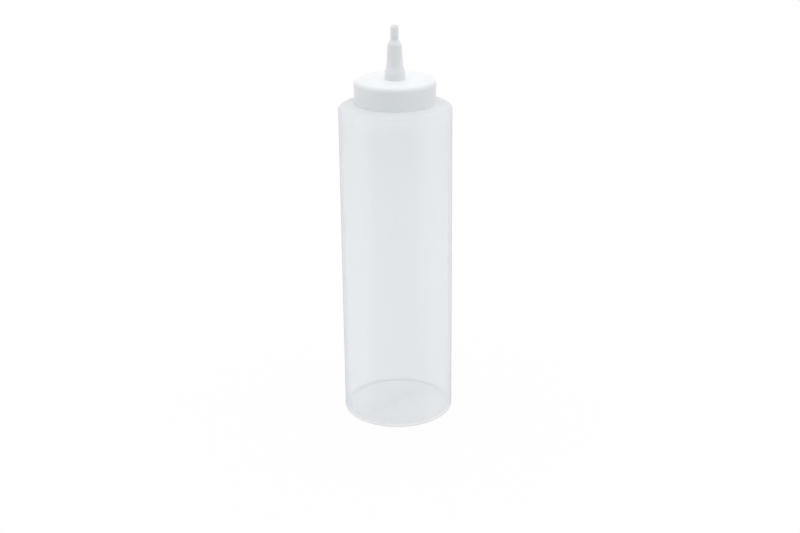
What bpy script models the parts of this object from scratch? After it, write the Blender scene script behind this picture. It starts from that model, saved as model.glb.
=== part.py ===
"""Condiment squeeze bottle: a soft blown body, a screw cap with a stepped nozzle, and the seal between them.

Lengths are metres and +Z is up. The origin is the middle of the base, on the axis that all pieces share.
The cap and its seal are drawn from the land, the flat rim of the neck that the seal closes on.
"""

import math
from itertools import pairwise

import bmesh
import bpy
from mathutils import Vector

# Body, blown in a split mould from natural low-density polyethylene
BODY_RADIUS = 0.035
BODY_WALL = 0.0012
SHOULDER_HEIGHT = 0.2029
SHOULDER_SLOPE = math.radians(12)
SHOULDER_ROUNDING = 0.0022

# Base, pushed up in the middle so that the bottle stands on a ring
HEEL_ROUNDING = 0.002
STANDING_RING_WIDTH = 0.0035
PUSH_UP_HEIGHT = 0.003
FLOOR_THICKNESS = 0.0016
FLOOR_MIDDLE_RADIUS = 0.003

# Scar across the base, where the closing mould pinched off the tube of plastic
PINCH_LENGTH = 0.044
PINCH_WIDTH = 0.0011
PINCH_HEIGHT = 0.0006
PINCH_ROOT = 0.0005

# Neck
NECK_RADIUS = 0.0223
NECK_WALL = 0.002
NECK_FOOT_HEIGHT = 0.00355
NECK_FOOT_ROUNDING = 0.0008
LAND_ROUNDING = 0.0004

# Screw thread, one start and right handed, with the same ridge on the neck and in the cap
THREAD_LEAD = 0.0042
THREAD_TURNS = 1.25
THREAD_DEPTH = 0.0013
THREAD_ROOT_WIDTH = 0.0019
THREAD_CREST_WIDTH = 0.0008
THREAD_BELOW_LAND = 0.002
THREAD_CLEARANCE = 0.00035
THREAD_PLAY = 0.0003
THREAD_SUNK = 0.0005
THREAD_RUN_OUT_SHARE = 0.09
THREAD_END_SHARE = 0.08

# Flat seal that the cap presses on the land
SEAL_THICKNESS = 0.0013
SEAL_OVERHANG = 0.0015
SEAL_ROUNDING = 0.0002
SEAT_GAP = 0.0003

# Cap
SKIRT_WALL = 0.0012
SKIRT_ABOVE_SHOULDER = 0.0005
CAP_TOP_THICKNESS = 0.0015
CAP_EDGE_ROUNDING = 0.003
CAP_RIM_ROUNDING = 0.0005
CAP_CORNER_ROUNDING = 0.0006
SEAL_RIB_WIDTH = 0.001
SEAL_RIB_DEPTH = 0.001
SEAL_RIB_ROUNDING = 0.0002

# Nozzle, moulded in one with the cap: foot, flare, cone, step and tip
FOOT_RADIUS = 0.0063
FOOT_HEIGHT = 0.0038
FOOT_ROUNDING = 0.0003
FLARE_HEIGHT = 0.0046
CONE_FOOT_RADIUS = 0.00505
CONE_HEIGHT = 0.013
CONE_TOP_RADIUS = 0.00425
STEP_HEIGHT = 0.003
STEP_ROUNDING = 0.0015
TIP_RADIUS = 0.00245
TIP_HEIGHT = 0.0084
TIP_ROUNDING = 0.0004
TIP_BORE_RADIUS = 0.0015
NOZZLE_WALL = 0.0013

# How finely round shapes are cut
ROUND_STEPS = 52
ARC_STEP = math.radians(18)
ARC_CHORD = 0.0006
DOME_STEPS = 6
MERGE_DISTANCE = 0.000001
SMOOTH_ANGLE = math.radians(32)

# Heights and radii that follow from the sizes above
NECK_BORE_RADIUS = NECK_RADIUS - NECK_WALL
NECK_THREAD_RADIUS = NECK_RADIUS + THREAD_DEPTH
CAP_BORE_RADIUS = NECK_THREAD_RADIUS + THREAD_CLEARANCE
CAP_THREAD_RADIUS = CAP_BORE_RADIUS - THREAD_DEPTH
CAP_RADIUS = CAP_BORE_RADIUS + SKIRT_WALL
RING_OUTER_RADIUS = BODY_RADIUS - HEEL_ROUNDING
RING_INNER_RADIUS = RING_OUTER_RADIUS - STANDING_RING_WIDTH
THREAD_RISE = THREAD_TURNS * THREAD_LEAD


def shoulder_height(radius):
    """Height of the shoulder's outer face at a radius."""
    return SHOULDER_HEIGHT + (BODY_RADIUS - radius) * math.tan(SHOULDER_SLOPE)


LAND_HEIGHT = shoulder_height(NECK_RADIUS) + NECK_FOOT_HEIGHT + THREAD_RISE + THREAD_BELOW_LAND

# Heights from the land, which the cap and the seal share
SEAL_BOTTOM = SEAT_GAP
SEAL_TOP = SEAL_BOTTOM + SEAL_THICKNESS
CAP_CEILING = SEAL_TOP + SEAT_GAP
CAP_TOP = CAP_CEILING + CAP_TOP_THICKNESS
CAP_RIM = shoulder_height(CAP_RADIUS) + SKIRT_ABOVE_SHOULDER - LAND_HEIGHT
SEAL_INNER_RADIUS = NECK_BORE_RADIUS - SEAL_OVERHANG
SEAL_OUTER_RADIUS = CAP_BORE_RADIUS - THREAD_CLEARANCE


def clear_scene():
    """Removes every object, so that only the bottle is left."""
    for thing in list(bpy.data.objects):
        bpy.data.objects.remove(thing)


def plastic(name, colour, roughness, transmission):
    """A moulded plastic, with its colour in linear values."""
    material = bpy.data.materials.new(name)
    material.use_nodes = True
    shader = material.node_tree.nodes["Principled BSDF"]
    shader.inputs["Base Color"].default_value = (*colour, 1)
    shader.inputs["Metallic"].default_value = 0
    shader.inputs["Roughness"].default_value = roughness
    shader.inputs["Transmission Weight"].default_value = transmission
    return material


def arc_steps(turn, rounding):
    """How many straight pieces stand for an arc: few on a small one, more on a long one."""
    return min(math.ceil(turn / ARC_STEP), 1 + math.ceil(turn * rounding / ARC_CHORD))


def rounded_corner(before, corner, after, rounding):
    """Points of the arc that rounds one corner. Its ends stay within half of each side."""
    back = before - corner
    ahead = after - corner
    turn = math.pi - back.angle(ahead)
    cut = min(rounding * math.tan(turn / 2), back.length / 2, ahead.length / 2)
    if cut < MERGE_DISTANCE:
        return [corner]
    start = corner + cut * back.normalized()
    end = corner + cut * ahead.normalized()
    centre = corner + ((start + end) / 2 - corner) / math.sin(turn / 2) ** 2
    steps = arc_steps(turn, rounding)
    points = []
    for step in range(steps + 1):
        swept = turn * step / steps
        across = math.sin(turn - swept) * (start - centre) + math.sin(swept) * (end - centre)
        points.append(centre + across / math.sin(turn))
    return points


def rounded_outline(corners, closed):
    """The outline through corners of (radius, height, rounding), as points of radius and height."""
    spots = [Vector(corner[:2]) for corner in corners]
    outline = []
    for index, corner in enumerate(corners):
        if closed or 0 < index < len(corners) - 1:
            after = spots[(index + 1) % len(spots)]
            outline.extend(rounded_corner(spots[index - 1], spots[index], after, corner[2]))
        else:
            outline.append(spots[index])
    return outline


def finished_mesh(name, mesh_data):
    """Turns bmesh data into a mesh that faces outwards and is smooth but for its real edges."""
    bmesh.ops.recalc_face_normals(mesh_data, faces=mesh_data.faces)
    mesh = bpy.data.meshes.new(name)
    mesh_data.to_mesh(mesh)
    mesh_data.free()
    mesh.shade_smooth()
    mesh.set_sharp_from_angle(angle=SMOOTH_ANGLE)
    return mesh


def turned_mesh(name, outline, closed):
    """Turns an outline round the axis. An outline that isn't closed ends in flat middles."""
    turned = bmesh.new()
    points = [turned.verts.new((radius, 0, height)) for radius, height in outline]
    sides = [turned.edges.new(pair) for pair in pairwise(points)]
    if closed:
        sides.append(turned.edges.new((points[-1], points[0])))
    bmesh.ops.spin(
        turned,
        geom=points + sides,
        cent=(0, 0, 0),
        axis=(0, 0, 1),
        dvec=(0, 0, 0),
        angle=math.tau,
        steps=ROUND_STEPS,
        use_merge=True,
    )
    bmesh.ops.remove_doubles(turned, verts=turned.verts, dist=MERGE_DISTANCE)
    if not closed:
        bmesh.ops.holes_fill(turned, edges=turned.edges, sides=ROUND_STEPS)
    return finished_mesh(name, turned)


def run_out(along):
    """How far the ridge stands out at a share of its length: smoothly from 0 at its ends to 1."""
    near_end = min(along, 1 - along) / THREAD_RUN_OUT_SHARE
    return math.sin(math.pi / 2 * min(1, near_end))


def thread_section(wall_radius, crest_radius, standing):
    """Corners of the ridge across its length, as (radius, height from its middle)."""
    outwards = 1 if crest_radius > wall_radius else -1
    sunk = wall_radius - outwards * THREAD_SUNK
    crest = sunk + (crest_radius - sunk) * standing
    widening = (THREAD_ROOT_WIDTH - THREAD_CREST_WIDTH) * THREAD_SUNK / THREAD_DEPTH
    root = (THREAD_ROOT_WIDTH + widening) / 2
    tip = root + (THREAD_CREST_WIDTH / 2 - root) * standing
    return [(sunk, -root), (crest, -tip), (crest, tip), (sunk, root)]


def thread_mesh(name, wall_radius, crest_radius, top):
    """The ridge along its helix up to a top height, sinking into the wall at both ends."""
    ridge = bmesh.new()
    steps = round(THREAD_TURNS * ROUND_STEPS)
    sections = []
    for step in range(steps + 1):
        along = step / steps
        angle = along * THREAD_TURNS * math.tau
        middle = top - THREAD_RISE * (1 - along)
        # The ends stop short of flat, inside the wall, so that each section keeps its area
        standing = max(run_out(along), THREAD_END_SHARE)
        sections.append(
            [
                ridge.verts.new((radius * math.cos(angle), radius * math.sin(angle), middle + height))
                for radius, height in thread_section(wall_radius, crest_radius, standing)
            ]
        )
    for lower, upper in pairwise(sections):
        for index in range(len(lower)):
            ridge.faces.new((lower[index - 1], lower[index], upper[index], upper[index - 1]))
    ridge.faces.new(sections[0])
    ridge.faces.new(sections[-1])
    return finished_mesh(name, ridge)


def placed(name, mesh, material, parent):
    """A named object with its mesh and finish, on its parent's axis."""
    thing = bpy.data.objects.new(name, mesh)
    mesh.materials.append(material)
    thing.parent = parent
    bpy.context.scene.collection.objects.link(thing)
    return thing


def axis_point(name, height, parent):
    """An empty on the axis, where a joint carries what hangs on it."""
    point = bpy.data.objects.new(name, None)
    point.parent = parent
    point.location = (0, 0, height)
    bpy.context.scene.collection.objects.link(point)
    return point


def fuse(thing, addition):
    """Joins an addition to a piece as one solid, and hides the addition itself."""
    join = thing.modifiers.new(addition.name, "BOOLEAN")
    join.operation = "UNION"
    join.solver = "EXACT"
    join.object = addition
    addition.hide_render = True
    addition.display_type = "WIRE"


def dome_height(radius):
    """Height of the push-up's underside at a radius inside the standing ring."""
    return PUSH_UP_HEIGHT * (1 - (radius / RING_INNER_RADIUS) ** 2)


def dome_points(lift):
    """The push-up from the middle to the standing ring, lifted by the floor's thickness or by nothing."""
    span = RING_INNER_RADIUS - FLOOR_MIDDLE_RADIUS
    radii = [FLOOR_MIDDLE_RADIUS + span * step / DOME_STEPS for step in range(DOME_STEPS + 1)]
    return [(radius, dome_height(radius) + lift, 0) for radius in radii]


def body_outline():
    """From the middle of the base out and up to the neck, over the land, and down inside to the floor."""
    inner_radius = BODY_RADIUS - BODY_WALL
    drop = BODY_WALL / math.cos(SHOULDER_SLOPE)
    outside = dome_points(0) + [
        (BODY_RADIUS, 0, HEEL_ROUNDING),
        (BODY_RADIUS, SHOULDER_HEIGHT, SHOULDER_ROUNDING),
        (NECK_RADIUS, shoulder_height(NECK_RADIUS), NECK_FOOT_ROUNDING),
        (NECK_RADIUS, LAND_HEIGHT, LAND_ROUNDING),
    ]
    inside = [
        (NECK_BORE_RADIUS, LAND_HEIGHT, LAND_ROUNDING),
        (NECK_BORE_RADIUS, shoulder_height(NECK_BORE_RADIUS) - drop, NECK_FOOT_ROUNDING),
        (inner_radius, shoulder_height(inner_radius) - drop, SHOULDER_ROUNDING),
        (inner_radius, FLOOR_THICKNESS, HEEL_ROUNDING),
    ]
    return rounded_outline(outside + inside + dome_points(FLOOR_THICKNESS)[::-1], closed=False)


def pinch_mesh():
    """The scar follows the push-up as a narrow ridge, along X."""
    scar = bmesh.new()
    half = PINCH_LENGTH / 2
    reach = [half * (step / DOME_STEPS - 1) for step in range(2 * DOME_STEPS + 1)]
    under = [(x, dome_height(x) - PINCH_HEIGHT) for x in reach[1:-1]]
    over = [(x, dome_height(x) + PINCH_ROOT) for x in reach]
    corners = [scar.verts.new((x, -PINCH_WIDTH / 2, z)) for x, z in under + over[::-1]]
    side = scar.faces.new(corners)
    swept = bmesh.ops.extrude_face_region(scar, geom=[side])
    moved = [item for item in swept["geom"] if isinstance(item, bmesh.types.BMVert)]
    bmesh.ops.translate(scar, verts=moved, vec=(0, PINCH_WIDTH, 0))
    return finished_mesh("pinch_off", scar)


def make_body():
    """The bottle itself, with the neck's thread and the scar under the base as one solid with it."""
    natural = plastic("natural_ldpe", (0.78, 0.83, 0.86), 0.35, 0.7)
    body = placed("bottle_body", turned_mesh("bottle_body", body_outline(), closed=False), natural, None)
    top = LAND_HEIGHT - THREAD_BELOW_LAND
    ridge = thread_mesh("neck_thread", NECK_RADIUS, NECK_THREAD_RADIUS, top)
    fuse(body, placed("neck_thread", ridge, natural, body))
    fuse(body, placed("pinch_off", pinch_mesh(), natural, body))
    return body


def make_seal(carrier):
    """The flat ring between the land and the cap's ceiling. It rises with the cap and needn't turn."""
    outline = rounded_outline(
        [
            (SEAL_INNER_RADIUS, SEAL_BOTTOM, SEAL_ROUNDING),
            (SEAL_OUTER_RADIUS, SEAL_BOTTOM, SEAL_ROUNDING),
            (SEAL_OUTER_RADIUS, SEAL_TOP, SEAL_ROUNDING),
            (SEAL_INNER_RADIUS, SEAL_TOP, SEAL_ROUNDING),
        ],
        closed=True,
    )
    silicone = plastic("silicone", (0.8, 0.82, 0.82), 0.5, 0)
    return placed("cap_seal", turned_mesh("cap_seal", outline, closed=True), silicone, carrier)


def nozzle_heights():
    """Heights from the land where the nozzle changes: foot, flare, cone, step and tip."""
    heights = [CAP_TOP]
    for rise in (FOOT_HEIGHT, FLARE_HEIGHT, CONE_HEIGHT, STEP_HEIGHT, TIP_HEIGHT):
        heights.append(heights[-1] + rise)
    return heights


def nozzle_outside():
    """Corners up the outside of the nozzle, from the cap's top."""
    foot, flare, cone, step, tip, end = nozzle_heights()
    return [
        (FOOT_RADIUS, foot, FOOT_ROUNDING),
        (FOOT_RADIUS, flare, STEP_ROUNDING),
        (CONE_FOOT_RADIUS, cone, STEP_ROUNDING),
        (CONE_TOP_RADIUS, step, STEP_ROUNDING),
        (TIP_RADIUS, tip, STEP_ROUNDING),
        (TIP_RADIUS, end, TIP_ROUNDING),
    ]


def nozzle_inside():
    """Corners down the bore, a wall's thickness inside the outside, to the cap's ceiling."""
    _, flare, cone, step, tip, end = nozzle_heights()
    return [
        (TIP_BORE_RADIUS, end, 0),
        (TIP_BORE_RADIUS, tip - NOZZLE_WALL / 2, STEP_ROUNDING),
        (CONE_TOP_RADIUS - NOZZLE_WALL, step - NOZZLE_WALL / 2, STEP_ROUNDING),
        (CONE_FOOT_RADIUS - NOZZLE_WALL, cone, STEP_ROUNDING),
        (FOOT_RADIUS - NOZZLE_WALL, flare, STEP_ROUNDING),
        (FOOT_RADIUS - NOZZLE_WALL, CAP_CEILING, FOOT_ROUNDING),
    ]


def cap_outline():
    """From the rim up the skirt, over the top and nozzle, down the bore and under the ceiling to the rim."""
    rib_outer = SEAL_INNER_RADIUS - SEAT_GAP
    rib_inner = rib_outer - SEAL_RIB_WIDTH
    rib_bottom = CAP_CEILING - SEAL_RIB_DEPTH
    skirt = [
        (CAP_BORE_RADIUS, CAP_RIM, CAP_RIM_ROUNDING),
        (CAP_RADIUS, CAP_RIM, CAP_RIM_ROUNDING),
        (CAP_RADIUS, CAP_TOP, CAP_EDGE_ROUNDING),
    ]
    ceiling = [
        (rib_inner, CAP_CEILING, SEAL_RIB_ROUNDING),
        (rib_inner, rib_bottom, SEAL_RIB_ROUNDING),
        (rib_outer, rib_bottom, SEAL_RIB_ROUNDING),
        (rib_outer, CAP_CEILING, SEAL_RIB_ROUNDING),
        (CAP_BORE_RADIUS, CAP_CEILING, CAP_CORNER_ROUNDING),
    ]
    return rounded_outline(skirt + nozzle_outside() + nozzle_inside() + ceiling, closed=True)


def make_cap(carrier):
    """The cap and its nozzle, with the thread inside the skirt in mesh below the neck's."""
    moulded = plastic("moulded_polypropylene", (0.76, 0.79, 0.81), 0.4, 0)
    cap = placed("screw_cap", turned_mesh("screw_cap", cap_outline(), closed=True), moulded, carrier)
    # Both ridges narrow towards their crests, so their widths at any shared radius add up to this
    narrowing = (THREAD_ROOT_WIDTH - THREAD_CREST_WIDTH) / THREAD_DEPTH
    widths = 2 * THREAD_ROOT_WIDTH - narrowing * (CAP_BORE_RADIUS - NECK_RADIUS)
    top = -THREAD_BELOW_LAND - widths / 2 - THREAD_PLAY
    ridge = thread_mesh("cap_thread", CAP_BORE_RADIUS, CAP_THREAD_RADIUS, top)
    fuse(cap, placed("cap_thread", ridge, moulded, carrier))
    return cap


def main():
    """Builds the bottle, then what lifts off it, then what also turns."""
    clear_scene()
    body = make_body()
    lift = axis_point("cap_lift", LAND_HEIGHT, body)
    make_seal(lift)
    turn = axis_point("cap_turn", 0, lift)
    make_cap(turn)


main()
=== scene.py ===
"""A condiment squeeze bottle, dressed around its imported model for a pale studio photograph.

Lengths are metres, +Z is up and the bottle stands on the origin. The bottle, the cap with its
nozzle, and the seal are each modelled as one finished piece on the axis that they share.
"""

import logging
import math
from collections.abc import Callable
from dataclasses import dataclass, field
from enum import Enum
from itertools import accumulate, pairwise

import bmesh
import bpy
from mathutils import Euler, Matrix, Vector

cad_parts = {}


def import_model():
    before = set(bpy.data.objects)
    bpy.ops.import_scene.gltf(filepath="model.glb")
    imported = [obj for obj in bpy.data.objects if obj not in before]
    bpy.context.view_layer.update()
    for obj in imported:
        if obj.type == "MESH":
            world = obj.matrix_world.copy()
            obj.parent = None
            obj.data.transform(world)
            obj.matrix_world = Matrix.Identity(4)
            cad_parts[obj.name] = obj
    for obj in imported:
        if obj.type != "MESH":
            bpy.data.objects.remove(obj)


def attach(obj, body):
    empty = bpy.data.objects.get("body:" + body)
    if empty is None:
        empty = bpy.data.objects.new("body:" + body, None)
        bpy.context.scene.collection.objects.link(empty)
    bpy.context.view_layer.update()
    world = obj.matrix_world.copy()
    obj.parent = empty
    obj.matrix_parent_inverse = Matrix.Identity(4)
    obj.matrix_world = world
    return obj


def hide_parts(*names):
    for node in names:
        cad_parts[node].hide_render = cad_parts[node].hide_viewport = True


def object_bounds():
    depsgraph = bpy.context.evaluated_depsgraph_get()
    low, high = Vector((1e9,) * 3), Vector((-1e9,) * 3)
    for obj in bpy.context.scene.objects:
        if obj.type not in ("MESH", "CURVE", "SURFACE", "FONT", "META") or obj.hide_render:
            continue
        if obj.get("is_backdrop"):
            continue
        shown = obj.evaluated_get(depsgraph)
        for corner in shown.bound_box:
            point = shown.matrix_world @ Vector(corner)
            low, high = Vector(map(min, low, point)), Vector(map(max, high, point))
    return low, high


LOG = logging.getLogger("squeeze_bottle")

Colour = tuple[float, float, float, float]
Place = tuple[float, float, float]
Corner = tuple[float, float, float]
Tree = bpy.types.NodeTree
Socket = bpy.types.NodeSocket

MM = 0.001
SAME_PLACE = 0.01 * MM
MERGED = 0.001 * MM
ROUND_STEPS = 256
ARC_STEP = math.radians(9)
SMOOTH_ANGLE = math.radians(34)
USUAL_NOISE = (0.3, 0.7)
NOISE_ROUGHNESS = 0.5


class Body(Enum):
    """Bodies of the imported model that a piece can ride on."""

    BOTTLE = "bottle"
    SEAL = "seal"
    CAP = "cap"


class Stands(Enum):
    """Which way a thread's ridge stands out of its wall."""

    OUTWARDS = 1
    INWARDS = -1


class Element(Enum):
    """What is selected by place in a piece that is open."""

    POINT = "VERT"
    EDGE = "EDGE"


def linear(hex_colour: str) -> Colour:
    """Turns an sRGB colour into the linear one that shaders take.

    Args:
        hex_colour: six hex digits, such as "E8EDF0".

    Returns:
        Red, green, blue and an alpha of 1.
    """
    shares = [int(hex_colour[at : at + 2], 16) / 255 for at in (0, 2, 4)]
    red, green, blue = (
        share / 12.92 if share <= 0.04045 else ((share + 0.055) / 1.055) ** 2.4 for share in shares
    )
    return (red, green, blue, 1.0)


def add_node(tree: Tree, kind: str, settings: dict, links: dict) -> bpy.types.Node:
    """Adds one node with its settings and links.

    Args:
        tree: The material's or world's node tree.
        kind: The node's type, such as "ShaderNodeBump".
        settings: Values by the name of a property or, if none has it, of an input.
        links: Output sockets by the name or number of the input that each feeds.

    Returns:
        The new node.
    """
    node = tree.nodes.new(kind)
    for name, value in settings.items():
        if isinstance(name, str) and name in node.bl_rna.properties:
            setattr(node, name, value)
        else:
            node.inputs[name].default_value = value
    for name, source in links.items():
        tree.links.new(source, node.inputs[name])
    return node


def new_material(name: str) -> tuple[bpy.types.Material, Tree, bpy.types.Node]:
    """Makes an empty material.

    Args:
        name: What the finish is called.

    Returns:
        The material, its emptied node tree and the output node.
    """
    material = bpy.data.materials.new(name)
    material.use_nodes = True
    tree = material.node_tree
    tree.nodes.clear()
    return material, tree, tree.nodes.new("ShaderNodeOutputMaterial")


def pattern(tree: Tree, scale_mm: Place, detail: float) -> Socket:
    """Adds soft noise that sits still on the piece.

    Args:
        tree: The material's node tree.
        scale_mm: Size of one patch along X, Y and Z, in millimetres.
        detail: How many finer layers are laid over the first.

    Returns:
        The noise's value, about 0.5 on average.
    """
    place = add_node(tree, "ShaderNodeTexCoord", {}, {}).outputs["Object"]
    per_metre = tuple(1 / (size * MM) for size in scale_mm)
    laid = add_node(tree, "ShaderNodeMapping", {"Scale": per_metre}, {"Vector": place})
    noise = add_node(
        tree,
        "ShaderNodeTexNoise",
        {"Scale": 1.0, "Detail": detail, "Roughness": NOISE_ROUGHNESS},
        {"Vector": laid.outputs["Vector"]},
    )
    return noise.outputs["Fac"]


def between(tree: Tree, share: Socket, low: float, high: float) -> Socket:
    """Spreads a noise over a range.

    Args:
        tree: The material's node tree.
        share: A noise, which mostly lies within USUAL_NOISE.
        low: What the lower end of that becomes.
        high: What the upper end of it becomes.

    Returns:
        The value in the new range.
    """
    least, most = USUAL_NOISE
    ranged = add_node(
        tree,
        "ShaderNodeMapRange",
        {"From Min": least, "From Max": most, "To Min": low, "To Max": high},
        {"Value": share},
    )
    return ranged.outputs["Result"]


def near_ring(tree: Tree, radius_mm: float, height_mm: float, reach_mm: float) -> Socket:
    """Says how near a point lies to a ring round the piece's axis.

    Args:
        tree: The material's node tree.
        radius_mm: The ring's radius.
        height_mm: Its height.
        reach_mm: The distance where the value has fallen to 0.

    Returns:
        1 on the ring, falling smoothly to 0.
    """
    place = add_node(tree, "ShaderNodeTexCoord", {}, {}).outputs["Object"]
    flat = add_node(tree, "ShaderNodeVectorMath", {"operation": "MULTIPLY", 1: (1, 1, 0)}, {0: place})
    radius = add_node(tree, "ShaderNodeVectorMath", {"operation": "LENGTH"}, {0: flat.outputs["Vector"]})
    height = add_node(tree, "ShaderNodeSeparateXYZ", {}, {0: place}).outputs["Z"]
    across = add_node(tree, "ShaderNodeCombineXYZ", {}, {"X": radius.outputs["Value"], "Y": height})
    away = add_node(
        tree,
        "ShaderNodeVectorMath",
        {"operation": "DISTANCE", 1: (radius_mm * MM, height_mm * MM, 0)},
        {0: across.outputs["Vector"]},
    )
    ranged = add_node(
        tree,
        "ShaderNodeMapRange",
        {"interpolation_type": "SMOOTHSTEP", "From Max": reach_mm * MM, "To Min": 1.0, "To Max": 0.0},
        {"Value": away.outputs["Value"]},
    )
    return ranged.outputs["Result"]


def relief(tree: Tree, layers: list[tuple[Socket, float]]) -> Socket:
    """Lays reliefs over each other.

    Args:
        tree: The material's node tree.
        layers: Each relief's value with its height in millimetres.

    Returns:
        The normal of the surface with all of them.
    """
    normal = None
    for value, height_mm in layers:
        links = {"Height": value} if normal is None else {"Height": value, "Normal": normal}
        bump = add_node(tree, "ShaderNodeBump", {"Strength": 1.0, "Distance": height_mm * MM}, links)
        normal = bump.outputs["Normal"]
    return normal


@dataclass(frozen=True)
class NaturalPolyethylene:
    """Low-density polyethylene with no pigment, blown in a mould.

    The wall is a milky, see-through film: it scatters some of the light and lets the rest pass
    straight, so that the far wall and the base show through it with soft edges. Where it is seen
    edge-on, a darker diffuse colour is mixed in, as painted shade for the light lost on the long way
    through the plastic. A band of painted shade, a darker colour in a milkier film, runs round the
    heel, where the wall turns into the base, and shows as a thin darker line. The mould's blasted
    face leaves a satin skin, and the stretched tube leaves long, faint waves up the wall. The grit's
    marks are a fifth of a millimetre wide in life, and are drawn coarser here so that they show.
    """

    tint: str = "F9FBFD"
    # Painted shade: a darker colour and a milkier film in a band round the inner and outer corners of the
    # heel, for the thin dark line there.
    heel_painted_shade: str = "B8BDC0"
    heel_shade_milkiness: float = 0.56
    heel_shade_inside_mm: tuple[float, float] = (32.3, 1.68)
    heel_shade_outside_mm: tuple[float, float] = (34.6, 0.5)
    heel_shade_reach_mm: tuple[float, float] = (1.6, 1.0)
    ior: float = 1.51
    roughness: tuple[float, float] = (0.3, 0.38)
    milkiness: tuple[float, float] = (0.4, 0.43)
    milkiness_edge_on: float = 0.95
    edge_power: float = 3.5
    glow_share: float = 0.7
    # Painted shade: a darker diffuse colour mixed in where the wall is seen edge-on, for the light lost
    # on the long way through the plastic; the power sets how near the edge it starts.
    edge_painted_shade: str = "A8AEB2"
    edge_shade_power: float = 9.0
    wave_mm: Place = (18.0, 18.0, 110.0)
    wave_height_mm: float = 0.004
    skin_mm: Place = (1.4, 1.4, 1.4)
    skin_height_mm: float = 0.005

    def material(self) -> bpy.types.Material:
        """Builds the finish.

        Returns:
            The material.
        """
        material, tree, output = new_material("natural_polyethylene")
        waves = pattern(tree, self.wave_mm, 1.0)
        skin = pattern(tree, self.skin_mm, 2.0)
        normal = relief(tree, [(waves, self.wave_height_mm), (skin, self.skin_height_mm)])
        # Painted shade round the heel: a band that is 1 at the heel's inner and outer corners and falls
        # to 0 away from them.
        inside = near_ring(tree, *self.heel_shade_inside_mm, self.heel_shade_reach_mm[0])
        outside = near_ring(tree, *self.heel_shade_outside_mm, self.heel_shade_reach_mm[1])
        heel = add_node(tree, "ShaderNodeMath", {"operation": "MAXIMUM"}, {0: inside, 1: outside})
        # The film's colour, darkened towards the heel's painted shade.
        tint = add_node(
            tree,
            "ShaderNodeMix",
            {"data_type": "RGBA", "A": linear(self.tint), "B": linear(self.heel_painted_shade)},
            {"Factor": heel.outputs[0]},
        ).outputs["Result"]
        film = add_node(
            tree,
            "ShaderNodeBsdfPrincipled",
            {"IOR": self.ior, "Metallic": 0.0},
            {"Base Color": tint, "Roughness": between(tree, skin, *self.roughness), "Normal": normal},
        )
        glow = add_node(tree, "ShaderNodeBsdfTranslucent", {}, {"Color": tint, "Normal": normal})
        lit = add_node(
            tree, "ShaderNodeMixShader", {0: self.glow_share}, {1: film.outputs[0], 2: glow.outputs[0]}
        )
        # Painted shade on the edge-on rim: a darker diffuse shader that takes over at grazing angles.
        edge_shade = add_node(
            tree, "ShaderNodeBsdfDiffuse", {"Color": linear(self.edge_painted_shade)}, {"Normal": normal}
        )
        facing = add_node(tree, "ShaderNodeLayerWeight", {"Blend": 0.5}, {}).outputs["Facing"]
        edge_on, edge_shade_share = (
            add_node(tree, "ShaderNodeMath", {"operation": "POWER", 1: power}, {0: facing})
            for power in (self.edge_power, self.edge_shade_power)
        )
        # The lit film with the painted edge shade mixed in.
        milky = add_node(
            tree,
            "ShaderNodeMixShader",
            {},
            {0: edge_shade_share.outputs[0], 1: lit.outputs[0], 2: edge_shade.outputs[0]},
        )
        clear = add_node(tree, "ShaderNodeBsdfTransparent", {}, {})
        open_wall = add_node(
            tree,
            "ShaderNodeMix",
            {"data_type": "FLOAT", "B": self.milkiness_edge_on},
            {"Factor": edge_on.outputs[0], "A": between(tree, waves, *self.milkiness)},
        )
        # The film is milkier in the heel's band of painted shade, so that the shade shows.
        share = add_node(
            tree,
            "ShaderNodeMix",
            {"data_type": "FLOAT", "B": self.heel_shade_milkiness},
            {"Factor": heel.outputs[0], "A": open_wall.outputs["Result"]},
        )
        wall = add_node(
            tree,
            "ShaderNodeMixShader",
            {},
            {0: share.outputs[0], 1: clear.outputs[0], 2: milky.outputs[0]},
        )
        tree.links.new(wall.outputs[0], output.inputs["Surface"])
        return material


@dataclass(frozen=True)
class MouldedPolypropylene:
    """White polypropylene, injection moulded in a polished mould that was lightly blasted.

    Its skin is smooth and satin, with a faint orange peel, and the light sinks a little way in, so
    that thin edges look soft. The peel is drawn about twice as coarse as in life so that it shows.
    """

    colour: str = "E9EDF0"
    deeper_colour: str = "E6EAED"
    ior: float = 1.49
    roughness: tuple[float, float] = (0.42, 0.5)
    depth_mm: float = 2.0
    depth_share: float = 0.6
    peel_mm: Place = (1.1, 1.1, 1.1)
    peel_height_mm: float = 0.01
    shrink_mm: Place = (14.0, 14.0, 9.0)
    shrink_height_mm: float = 0.08

    def material(self) -> bpy.types.Material:
        """Builds the finish.

        Returns:
            The material.
        """
        material, tree, output = new_material("moulded_polypropylene")
        peel = pattern(tree, self.peel_mm, 2.0)
        shrink = pattern(tree, self.shrink_mm, 1.0)
        normal = relief(tree, [(shrink, self.shrink_height_mm), (peel, self.peel_height_mm)])
        cloudy = add_node(
            tree,
            "ShaderNodeMix",
            {"data_type": "RGBA", "A": linear(self.colour), "B": linear(self.deeper_colour)},
            {"Factor": shrink},
        )
        skin = add_node(
            tree,
            "ShaderNodeBsdfPrincipled",
            {
                "IOR": self.ior,
                "Metallic": 0.0,
                "Subsurface Weight": self.depth_share,
                "Subsurface Radius": (1.0, 1.0, 1.0),
                "Subsurface Scale": self.depth_mm * MM,
            },
            {
                "Base Color": cloudy.outputs["Result"],
                "Roughness": between(tree, peel, *self.roughness),
                "Normal": normal,
            },
        )
        tree.links.new(skin.outputs[0], output.inputs["Surface"])
        return material


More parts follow.
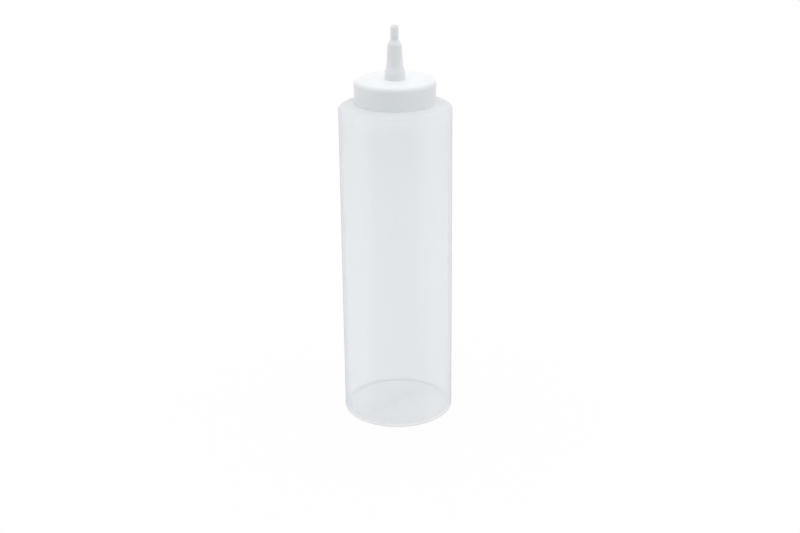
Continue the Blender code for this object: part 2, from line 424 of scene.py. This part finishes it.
@dataclass(frozen=True)
class MilkySilicone:
    """Silicone rubber, stamped from a sheet: dull, a little cloudy and faintly grained.

    The grain is drawn coarser than in life so that it shows.
    """

    colour: str = "DEE2E1"
    ior: float = 1.43
    roughness: tuple[float, float] = (0.5, 0.62)
    grain_mm: Place = (0.5, 0.5, 0.5)
    grain_height_mm: float = 0.01

    def material(self) -> bpy.types.Material:
        """Builds the finish.

        Returns:
            The material.
        """
        material, tree, output = new_material("milky_silicone")
        grain = pattern(tree, self.grain_mm, 3.0)
        skin = add_node(
            tree,
            "ShaderNodeBsdfPrincipled",
            {"Base Color": linear(self.colour), "IOR": self.ior, "Metallic": 0.0},
            {
                "Roughness": between(tree, grain, *self.roughness),
                "Normal": relief(tree, [(grain, self.grain_height_mm)]),
            },
        )
        tree.links.new(skin.outputs[0], output.inputs["Surface"])
        return material


def leave_edit_mode() -> None:
    """Closes the piece that is open and deselects everything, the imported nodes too."""
    if bpy.context.mode != "OBJECT":
        bpy.ops.object.mode_set(mode="OBJECT")
    bpy.ops.object.select_all(action="DESELECT")


def open_piece(thing: bpy.types.Object) -> None:
    """Opens one piece alone in edit mode.

    Args:
        thing: The piece's object.
    """
    leave_edit_mode()
    bpy.context.view_layer.objects.active = thing
    thing.select_set(True)
    bpy.ops.object.mode_set(mode="EDIT")


def name_and_open(name: str) -> bpy.types.Object:
    """Names the primitive that was just added, moves its place into its mesh and opens it.

    Args:
        name: The piece's name.

    Returns:
        Its object, in edit mode with all of it selected.
    """
    thing = bpy.context.active_object
    thing.name = thing.data.name = name
    bpy.ops.object.transform_apply(location=True, rotation=True, scale=True)
    open_piece(thing)
    bpy.ops.mesh.select_all(action="SELECT")
    return thing


def select_by_place(wanted: Callable[[Vector], bool], element: Element = Element.POINT) -> None:
    """Selects by place in the piece that is open.

    Args:
        wanted: Says whether a place is wanted.
        element: A point is tested by its own place, and an edge by both of its ends.
    """
    bpy.ops.mesh.select_mode(type=element.value)
    bpy.ops.mesh.select_all(action="DESELECT")
    mesh = bpy.context.edit_object.data
    parts = bmesh.from_edit_mesh(mesh)
    if element is Element.POINT:
        for point in parts.verts:
            if wanted(point.co):
                point.select = True
    else:
        for edge in parts.edges:
            if all(wanted(end.co) for end in edge.verts):
                edge.select = True
    bmesh.update_edit_mesh(mesh)


def close_and_smooth() -> None:
    """Merges what lies in one place, turns the faces outwards and leaves edit mode, shaded smooth."""
    bpy.ops.mesh.select_mode(type="VERT")
    bpy.ops.mesh.select_all(action="SELECT")
    bpy.ops.mesh.remove_doubles(threshold=MERGED)
    bpy.ops.mesh.delete_loose(use_verts=True, use_edges=True, use_faces=False)
    bpy.ops.mesh.select_all(action="SELECT")
    bpy.ops.mesh.normals_make_consistent(inside=False)
    bpy.ops.object.mode_set(mode="OBJECT")
    bpy.ops.object.shade_smooth_by_angle(angle=SMOOTH_ANGLE)


def turned(name: str, corners: list[Corner]) -> bpy.types.Object:
    """Draws a section and turns it round the axis.

    One vertex is extruded from corner to corner, the corners are bevelled round, and the closed
    section is spun. A side that lies on the axis leaves nothing behind.

    Args:
        name: The piece's name.
        corners: The section as (radius, height, rounding), in order round it.

    Returns:
        The finished solid of revolution.
    """
    leave_edit_mode()
    start = corners[0]
    bpy.ops.mesh.primitive_circle_add(vertices=3, radius=MM, location=(start[0], 0, start[1]))
    thing = name_and_open(name)
    bpy.ops.mesh.merge(type="CENTER")
    for before, after in pairwise(corners):
        step = (after[0] - before[0], 0, after[1] - before[1])
        bpy.ops.mesh.extrude_region_move(TRANSFORM_OT_translate={"value": step})
    bpy.ops.mesh.select_all(action="SELECT")
    bpy.ops.mesh.edge_face_add()
    spots = [Vector((radius, 0, height)) for radius, height, _ in corners]
    for index, spot in enumerate(spots):
        if corners[index][2]:
            round_corner(spots[index - 1], spot, spots[(index + 1) % len(spots)], corners[index][2])
    bpy.ops.mesh.select_all(action="SELECT")
    bpy.ops.mesh.delete(type="ONLY_FACE")
    bpy.ops.mesh.select_all(action="SELECT")
    bpy.ops.mesh.spin(steps=ROUND_STEPS, angle=math.tau, center=(0, 0, 0), axis=(0, 0, 1))
    close_and_smooth()
    return thing


def round_corner(before: Vector, corner: Vector, after: Vector, rounding: float) -> None:
    """Bevels one corner of the section that is open.

    Args:
        before: The corner before it.
        corner: The corner to round.
        after: The corner after it.
        rounding: The radius. It is less where a side is too short for it.
    """
    turn = math.pi - (before - corner).angle(after - corner)
    room = min((before - corner).length, (after - corner).length) / 2
    cut = min(rounding * math.tan(turn / 2), room)
    select_by_place(lambda place: (place - corner).length < SAME_PLACE)
    steps = max(2, math.ceil(turn / ARC_STEP))
    bpy.ops.mesh.bevel(offset=cut, segments=steps, affect="VERTICES", offset_type="OFFSET")


def join(piece: bpy.types.Object, addition: bpy.types.Object) -> None:
    """Makes an addition one solid with a piece.

    Args:
        piece: The piece, which keeps its name.
        addition: What is joined to it, and is then gone.
    """
    leave_edit_mode()
    bpy.context.view_layer.objects.active = piece
    piece.select_set(True)
    union = piece.modifiers.new("union", "BOOLEAN")
    union.operation = "UNION"
    union.solver = "EXACT"
    union.object = addition
    bpy.ops.object.modifier_apply(modifier=union.name)
    bpy.data.objects.remove(addition)
    bpy.ops.object.shade_smooth_by_angle(angle=SMOOTH_ANGLE)


@dataclass(frozen=True)
class ScrewThread:
    """The one-start, right-handed ridge that the neck and the cap share."""

    lead: float = 4.2 * MM
    turns: float = 1.25
    depth: float = 1.3 * MM
    root_width: float = 1.9 * MM
    crest_width: float = 0.8 * MM
    crest_rounding: float = 0.25 * MM
    crest_steps: int = 3
    sunk: float = 0.4 * MM
    run_out_share: float = 0.09
    least_standing: float = 0.12
    steps_a_turn: int = 96

    def standing(self, along: float) -> float:
        """How much of its height the ridge has at a share of its length, as it fades in and out."""
        near_end = min(along, 1 - along) / self.run_out_share
        return max(math.sin(math.pi / 2 * min(1.0, near_end)), self.least_standing)

    def ridge(self, name: str, wall_radius: float, top: float, stands: Stands) -> bpy.types.Object:
        """Draws the ridge's section and walks it up the helix, extruding and turning as it goes.

        Args:
            name: The ridge's name.
            wall_radius: Radius of the wall that it stands on.
            top: Height of its middle at the upper end.
            stands: Which way it stands out.

        Returns:
            The ridge as a closed solid, sunk a little into its wall.
        """
        rise = self.turns * self.lead
        low = top - rise
        outwards = stands.value
        root = Vector((wall_radius - outwards * self.sunk, 0, low))
        reach = self.depth + self.sunk
        middle = root + Vector((outwards * reach / 2, 0, 0))
        leave_edit_mode()
        bpy.ops.mesh.primitive_plane_add(size=1, location=middle, rotation=(math.pi / 2, 0, 0))
        bpy.context.active_object.scale = (reach, self.root_width, 1)
        thing = name_and_open(name)
        crest = root.x + outwards * reach
        select_by_place(lambda place: abs(place.x - crest) < SAME_PLACE)
        narrowing = self.crest_width / self.root_width
        bpy.ops.transform.resize(value=(1, 1, narrowing), center_override=(crest, 0, low))
        bpy.ops.mesh.bevel(
            offset=self.crest_rounding,
            segments=self.crest_steps,
            affect="VERTICES",
            offset_type="OFFSET",
        )
        bpy.ops.mesh.select_mode(type="FACE")
        bpy.ops.mesh.select_all(action="SELECT")
        height = self.standing(0)
        bpy.ops.transform.resize(value=(height,) * 3, center_override=root)
        steps = round(self.turns * self.steps_a_turn)
        turn = self.turns * math.tau / steps
        for step in range(1, steps + 1):
            lift = (0, 0, rise / steps)
            bpy.ops.mesh.extrude_region_move(TRANSFORM_OT_translate={"value": lift})
            bpy.ops.transform.rotate(value=-turn, orient_axis="Z", center_override=(0, 0, 0))
            root = Matrix.Rotation(turn, 3, "Z") @ root + Vector(lift)
            change = self.standing(step / steps) / height
            height *= change
            if abs(change - 1) > MERGED:
                bpy.ops.transform.resize(value=(change,) * 3, center_override=root)
        close_and_smooth()
        return thing


@dataclass
class Bottle:
    """The blown body: straight wall, pushed-up base, sloping shoulder and threaded neck."""

    finish: NaturalPolyethylene = field(default_factory=NaturalPolyethylene)
    thread: ScrewThread = field(default_factory=ScrewThread)
    radius: float = 34.95 * MM
    wall: float = 1.2 * MM
    shoulder_height: float = 202.9 * MM
    shoulder_slope: float = math.radians(12)
    shoulder_rounding: float = 2.2 * MM
    heel_rounding: float = 2.0 * MM
    ring_width: float = 3.5 * MM
    push_up: float = 3.0 * MM
    push_up_steps: int = 14
    floor: float = 1.6 * MM
    neck_radius: float = 22.3 * MM
    neck_wall: float = 2.0 * MM
    neck_foot: float = 3.55 * MM
    neck_foot_rounding: float = 0.8 * MM
    thread_below_land: float = 2.0 * MM
    land_rounding: float = 0.4 * MM
    scar_length: float = 44 * MM
    scar_width: float = 1.1 * MM
    scar_height: float = 0.6 * MM
    scar_rounding: float = 0.3 * MM
    scar_rounding_steps: int = 4
    scar_steps: int = 20
    seam_height: float = 0.05 * MM
    seam_width: float = 0.4 * MM

    def shoulder_at(self, radius: float) -> float:
        """Height of the shoulder's outer face at a radius."""
        return self.shoulder_height + (self.radius - radius) * math.tan(self.shoulder_slope)

    @property
    def land(self) -> float:
        """Height of the neck's flat rim, which the seal closes on."""
        rise = self.thread.turns * self.thread.lead
        return self.shoulder_at(self.neck_radius) + self.neck_foot + rise + self.thread_below_land

    @property
    def ring_inner_radius(self) -> float:
        """Inner radius of the ring that the bottle stands on."""
        return self.radius - self.heel_rounding - self.ring_width

    def dome(self, radius: float) -> float:
        """Height of the push-up's underside at a radius."""
        return self.push_up * (1 - (radius / self.ring_inner_radius) ** 2)

    def section(self) -> list[Corner]:
        """The wall's section, from the axis under the base round to the axis on the floor.

        Returns:
            Corners as (radius, height, rounding).
        """
        reach = self.ring_inner_radius
        radii = [reach * step / self.push_up_steps for step in range(self.push_up_steps + 1)]
        inner = self.radius - self.wall
        bore = self.neck_radius - self.neck_wall
        drop = self.wall / math.cos(self.shoulder_slope)
        under = [(radius, self.dome(radius), 0.0) for radius in radii]
        outside = [
            (self.radius, 0, self.heel_rounding),
            (self.radius, self.shoulder_height, self.shoulder_rounding),
            (self.neck_radius, self.shoulder_at(self.neck_radius), self.neck_foot_rounding),
            (self.neck_radius, self.land, self.land_rounding),
        ]
        inside = [
            (bore, self.land, self.land_rounding),
            (bore, self.shoulder_at(bore) - drop, self.neck_foot_rounding),
            (inner, self.shoulder_at(inner) - drop, self.shoulder_rounding),
            (inner, self.floor, self.heel_rounding),
        ]
        over = [(radius, height + self.floor, 0.0) for radius, height, _ in reversed(under)]
        return under + outside + inside + over

    def scar(self) -> bpy.types.Object:
        """Models the scar where the mould pinched off the tube, as a ridge along the push-up.

        Returns:
            The scar as a closed solid that reaches into the base.
        """
        leave_edit_mode()
        height = self.scar_height + self.floor / 2
        bpy.ops.mesh.primitive_cube_add(size=1, location=(0, 0, height / 2 - self.scar_height))
        bpy.context.active_object.scale = (self.scar_length, self.scar_width, height)
        thing = name_and_open("pinch_off_scar")
        under = -self.scar_height
        select_by_place(lambda place: abs(place.z - under) < SAME_PLACE, Element.EDGE)
        bpy.ops.mesh.bevel(
            offset=self.scar_rounding, segments=self.scar_rounding_steps, affect="EDGES"
        )
        half = self.scar_length / 2
        cuts = [half * (2 * step / self.scar_steps - 1) for step in range(self.scar_steps + 1)]
        for cut in cuts[1:-1]:
            bpy.ops.mesh.select_all(action="SELECT")
            bpy.ops.mesh.bisect(plane_co=(cut, 0, 0), plane_no=(1, 0, 0))
        near = half / self.scar_steps
        for cut in cuts:
            select_by_place(lambda place, x=cut: abs(place.x - x) < near)
            bpy.ops.transform.translate(value=(0, 0, self.dome(cut)))
        close_and_smooth()
        return thing

    def on_seam(self, place: Vector) -> bool:
        """Says whether a place lies on the outer face where the mould's halves met, above the heel."""
        across = abs(place.x)
        if abs(place.y) > SAME_PLACE or across < self.neck_radius + self.neck_foot_rounding:
            return False
        on_wall = across > self.radius - self.wall / 2
        on_shoulder = place.z > self.shoulder_at(across) - self.wall / 2
        return (on_wall or on_shoulder) and place.z > self.heel_rounding - SAME_PLACE

    def raise_seams(self, thing: bpy.types.Object) -> None:
        """Raises the fine line that the mould's halves leave up both sides and over the shoulder.

        Args:
            thing: The turned body.
        """
        open_piece(thing)
        select_by_place(self.on_seam, Element.EDGE)
        bpy.ops.mesh.bevel(offset=self.seam_width / 2, segments=2, affect="EDGES")
        select_by_place(self.on_seam)
        bpy.ops.transform.shrink_fatten(value=self.seam_height)
        close_and_smooth()

    def build(self) -> bpy.types.Object:
        """Models the whole body.

        Returns:
            The finished piece, dressed and riding on its body.
        """
        thing = turned("bottle", self.section())
        self.raise_seams(thing)
        join(thing, self.scar())
        top = self.land - self.thread_below_land
        join(thing, self.thread.ridge("neck_thread", self.neck_radius, top, Stands.OUTWARDS))
        thing.data.materials.clear()
        thing.data.materials.append(self.finish.material())
        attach(thing, Body.BOTTLE.value)
        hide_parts("bottle_body")
        return thing


@dataclass
class Seal:
    """The flat ring between the neck's rim and the cap."""

    land: float
    finish: MilkySilicone = field(default_factory=MilkySilicone)
    inner_radius: float = 18.8 * MM
    outer_radius: float = 23.6 * MM
    seat_gap: float = 0.3 * MM
    thickness: float = 1.3 * MM
    rounding: float = 0.2 * MM

    @property
    def top(self) -> float:
        """Height of its upper face."""
        return self.land + self.seat_gap + self.thickness

    def build(self) -> bpy.types.Object:
        """Models the ring.

        Returns:
            The finished piece, dressed and riding on its body.
        """
        low = self.land + self.seat_gap
        corners = [
            (self.inner_radius, low, self.rounding),
            (self.outer_radius, low, self.rounding),
            (self.outer_radius, self.top, self.rounding),
            (self.inner_radius, self.top, self.rounding),
        ]
        thing = turned("seal_ring", corners)
        thing.data.materials.append(self.finish.material())
        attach(thing, Body.SEAL.value)
        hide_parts("cap_seal")
        return thing


@dataclass
class Nozzle:
    """The stepped, hollow nozzle that is moulded on the cap: foot, flare, cone, step and tip."""

    foot_radius: float = 6.3 * MM
    foot_height: float = 3.8 * MM
    foot_rounding: float = 0.3 * MM
    flare_height: float = 4.6 * MM
    cone_foot_radius: float = 5.05 * MM
    cone_height: float = 13 * MM
    cone_top_radius: float = 4.25 * MM
    step_height: float = 3 * MM
    step_rounding: float = 1.5 * MM
    tip_radius: float = 2.45 * MM
    tip_height: float = 8.4 * MM
    tip_rounding: float = 0.4 * MM
    bore_radius: float = 1.5 * MM
    bore_rounding: float = 0.15 * MM
    wall: float = 1.3 * MM

    def heights(self, base: float) -> list[float]:
        """Heights where the nozzle changes, from the cap's top up."""
        rises = (self.foot_height, self.flare_height, self.cone_height, self.step_height, self.tip_height)
        return list(accumulate(rises, initial=base))

    def section(self, base: float, ceiling: float) -> list[Corner]:
        """Up the outside and down the bore.

        Args:
            base: Height of the cap's top face.
            ceiling: Height of the cap's inner face.

        Returns:
            Corners as (radius, height, rounding).
        """
        foot, flare, cone, step, tip, end = self.heights(base)
        return [
            (self.foot_radius, foot, self.foot_rounding),
            (self.foot_radius, flare, self.step_rounding),
            (self.cone_foot_radius, cone, self.step_rounding),
            (self.cone_top_radius, step, self.step_rounding),
            (self.tip_radius, tip, self.step_rounding),
            (self.tip_radius, end, self.tip_rounding),
            (self.bore_radius, end, self.bore_rounding),
            (self.bore_radius, tip - self.wall / 2, self.step_rounding),
            (self.cone_top_radius - self.wall, step - self.wall / 2, self.step_rounding),
            (self.cone_foot_radius - self.wall, cone, self.step_rounding),
            (self.foot_radius - self.wall, flare, self.step_rounding),
            (self.foot_radius - self.wall, ceiling, self.foot_rounding),
        ]


@dataclass
class Cap:
    """The screw cap: a smooth skirt with the thread inside, a rib behind the seal, and the nozzle."""

    bottle: Bottle
    seal: Seal
    finish: MouldedPolypropylene = field(default_factory=MouldedPolypropylene)
    nozzle: Nozzle = field(default_factory=Nozzle)
    thread_clearance: float = 0.35 * MM
    thread_play: float = 0.3 * MM
    skirt_wall: float = 1.2 * MM
    above_shoulder: float = 0.5 * MM
    top_thickness: float = 1.5 * MM
    edge_rounding: float = 3.0 * MM
    rim_rounding: float = 0.5 * MM
    corner_rounding: float = 0.6 * MM
    rib_width: float = 1 * MM
    rib_depth: float = 1 * MM
    rib_rounding: float = 0.2 * MM

    @property
    def bore_radius(self) -> float:
        """Radius inside the skirt, which clears the neck's thread."""
        return self.bottle.neck_radius + self.bottle.thread.depth + self.thread_clearance

    def section(self) -> list[Corner]:
        """The cap's section, from its rim over the top and nozzle and back under the ceiling.

        Returns:
            Corners as (radius, height, rounding).
        """
        outer = self.bore_radius + self.skirt_wall
        rim = self.bottle.shoulder_at(outer) + self.above_shoulder
        ceiling = self.seal.top + self.seal.seat_gap
        top = ceiling + self.top_thickness
        rib_outer = self.seal.inner_radius - self.seal.seat_gap
        rib_inner = rib_outer - self.rib_width
        skirt = [
            (self.bore_radius, rim, self.rim_rounding),
            (outer, rim, self.rim_rounding),
            (outer, top, self.edge_rounding),
        ]
        under = [
            (rib_inner, ceiling, self.rib_rounding),
            (rib_inner, ceiling - self.rib_depth, self.rib_rounding),
            (rib_outer, ceiling - self.rib_depth, self.rib_rounding),
            (rib_outer, ceiling, self.rib_rounding),
            (self.bore_radius, ceiling, self.corner_rounding),
        ]
        return skirt + self.nozzle.section(top, ceiling) + under

    def thread_top(self) -> float:
        """Height of the cap's ridge at its upper end, just under the neck's own."""
        thread = self.bottle.thread
        narrowing = (thread.root_width - thread.crest_width) / thread.depth
        widths = 2 * thread.root_width - narrowing * (self.bore_radius - self.bottle.neck_radius)
        return self.bottle.land - self.bottle.thread_below_land - widths / 2 - self.thread_play

    def build(self) -> bpy.types.Object:
        """Models the cap.

        Returns:
            The finished piece, dressed and riding on its body.
        """
        thing = turned("nozzle_cap", self.section())
        thread = self.bottle.thread
        join(thing, thread.ridge("cap_thread", self.bore_radius, self.thread_top(), Stands.INWARDS))
        thing.data.materials.clear()
        thing.data.materials.append(self.finish.material())
        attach(thing, Body.CAP.value)
        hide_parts("screw_cap")
        return thing


@dataclass(frozen=True)
class Softbox:
    """One soft lamp, aimed at the bottle."""

    name: str
    place: Place
    size: tuple[float, float]
    watts: float
    colour: str = "FFFFFF"

    def hang(self, target: Vector) -> None:
        """Adds the lamp.

        Args:
            target: The point that it faces.
        """
        leave_edit_mode()
        bpy.ops.object.light_add(type="AREA", location=self.place)
        lamp = bpy.context.active_object
        lamp.name = lamp.data.name = self.name
        lamp.data.shape = "RECTANGLE"
        lamp.data.size, lamp.data.size_y = self.size
        lamp.data.energy = self.watts
        lamp.data.color = linear(self.colour)[:3]
        lamp.rotation_euler = (target - Vector(self.place)).to_track_quat("-Z", "Y").to_euler()


@dataclass
class Studio:
    """A white table, a white surround, soft lamps and the camera of the photograph."""

    floor_size: float = 40.0
    floor_colour: str = "F2F2F2"
    floor_glow_share: float = 0.92
    shadow_reach: float = 0.3
    surround_light: float = 0.65
    eye: Place = (1.9 * MM, -821.6 * MM, 415.3 * MM)
    look_down: float = math.radians(21.145)
    lean: float = math.radians(-0.59)
    lens_mm: float = 61.95
    sensor_mm: float = 36.0
    lamps: tuple[Softbox, ...] = (
        Softbox("overhead_softbox", (0.0, 0.1, 1.5), (1.6, 1.6), 10.8),
        Softbox("left_softbox", (-1.5, -0.1, 0.5), (0.8, 1.4), 1.5),
        Softbox("right_softbox", (1.5, -0.1, 0.5), (0.8, 1.4), 2.6),
    )

    def seen_directly(self, tree: Tree) -> Socket:
        """Says whether a ray comes from the eye, straight, off a gloss or through a clear piece.

        Args:
            tree: The node tree of the floor or the surround.

        Returns:
            1 for such a ray and 0 for light that only brightens other things.
        """
        path = add_node(tree, "ShaderNodeLightPath", {}, {}).outputs
        seen = path["Is Camera Ray"]
        for other in ("Is Glossy Ray", "Is Transmission Ray"):
            either = add_node(
                tree, "ShaderNodeMath", {"operation": "MAXIMUM"}, {0: seen, 1: path[other]}
            )
            seen = either.outputs[0]
        return seen

    def lay_floor(self) -> None:
        """Lays the table. It looks white, keeps the bottle's shadow and is clear from below."""
        leave_edit_mode()
        bpy.ops.mesh.primitive_plane_add(size=self.floor_size, location=(0, 0, 0))
        floor = bpy.context.active_object
        floor.name = floor.data.name = "studio_floor"
        material, tree, output = new_material("white_table")
        card = add_node(tree, "ShaderNodeBsdfDiffuse", {"Color": linear(self.floor_colour)}, {})
        place = add_node(tree, "ShaderNodeTexCoord", {}, {}).outputs["Object"]
        away = add_node(tree, "ShaderNodeVectorMath", {"operation": "LENGTH"}, {0: place})
        ranged = add_node(
            tree,
            "ShaderNodeMapRange",
            {"From Max": self.shadow_reach, "To Min": self.floor_glow_share, "To Max": 1.0},
            {"Value": away.outputs["Value"]},
        )
        white = add_node(
            tree,
            "ShaderNodeMath",
            {"operation": "MULTIPLY"},
            {0: ranged.outputs["Result"], 1: self.seen_directly(tree)},
        )
        glow = add_node(tree, "ShaderNodeEmission", {"Strength": 1.0}, {})
        both = add_node(
            tree,
            "ShaderNodeMixShader",
            {},
            {0: white.outputs[0], 1: card.outputs[0], 2: glow.outputs[0]},
        )
        clear = add_node(tree, "ShaderNodeBsdfTransparent", {}, {})
        below = add_node(tree, "ShaderNodeNewGeometry", {}, {}).outputs["Backfacing"]
        sided = add_node(
            tree, "ShaderNodeMixShader", {}, {0: below, 1: both.outputs[0], 2: clear.outputs[0]}
        )
        tree.links.new(sided.outputs[0], output.inputs["Surface"])
        floor.data.materials.append(material)
        floor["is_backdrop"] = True

    def hang_surround(self) -> None:
        """Makes the world white to the eye and a plain soft light to the bottle."""
        world = bpy.data.worlds.new("white_surround")
        bpy.context.scene.world = world
        world.use_nodes = True
        tree = world.node_tree
        tree.nodes.clear()
        strength = add_node(
            tree,
            "ShaderNodeMapRange",
            {"To Min": self.surround_light, "To Max": 1.0},
            {"Value": self.seen_directly(tree)},
        )
        white = add_node(
            tree,
            "ShaderNodeBackground",
            {"Color": linear("FFFFFF")},
            {"Strength": strength.outputs["Result"]},
        )
        output = tree.nodes.new("ShaderNodeOutputWorld")
        tree.links.new(white.outputs[0], output.inputs["Surface"])

    def place_camera(self) -> None:
        """Sets the camera where the photograph was taken from."""
        leave_edit_mode()
        bpy.ops.object.camera_add(location=self.eye)
        camera = bpy.context.active_object
        camera.name = camera.data.name = "photograph_camera"
        camera.data.lens = self.lens_mm
        camera.data.sensor_width = self.sensor_mm
        level = Euler((math.pi / 2 - self.look_down, 0, 0)).to_matrix()
        camera.rotation_euler = (level @ Matrix.Rotation(self.lean, 3, "Z")).to_euler()
        bpy.context.scene.camera = camera

    def set_up(self, middle: Vector) -> None:
        """Sets up the whole studio.

        Args:
            middle: The middle of the bottle, which the lamps face.
        """
        bpy.context.scene.view_settings.view_transform = "Standard"
        self.lay_floor()
        self.hang_surround()
        for lamp in self.lamps:
            lamp.hang(middle)
        self.place_camera()


def main() -> None:
    """Builds the bottle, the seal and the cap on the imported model, then the studio round them."""
    logging.basicConfig(level=logging.INFO, format="%(name)s: %(message)s")
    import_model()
    cad_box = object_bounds()
    bottle = Bottle()
    seal = Seal(land=bottle.land)
    cap = Cap(bottle=bottle, seal=seal)
    for part in (bottle, seal, cap):
        thing = part.build()
        LOG.info("%s: %d faces", thing.name, len(thing.data.polygons))
    Studio().set_up((cad_box[0] + cad_box[1]) / 2)


if __name__ == "__main__":
    main()
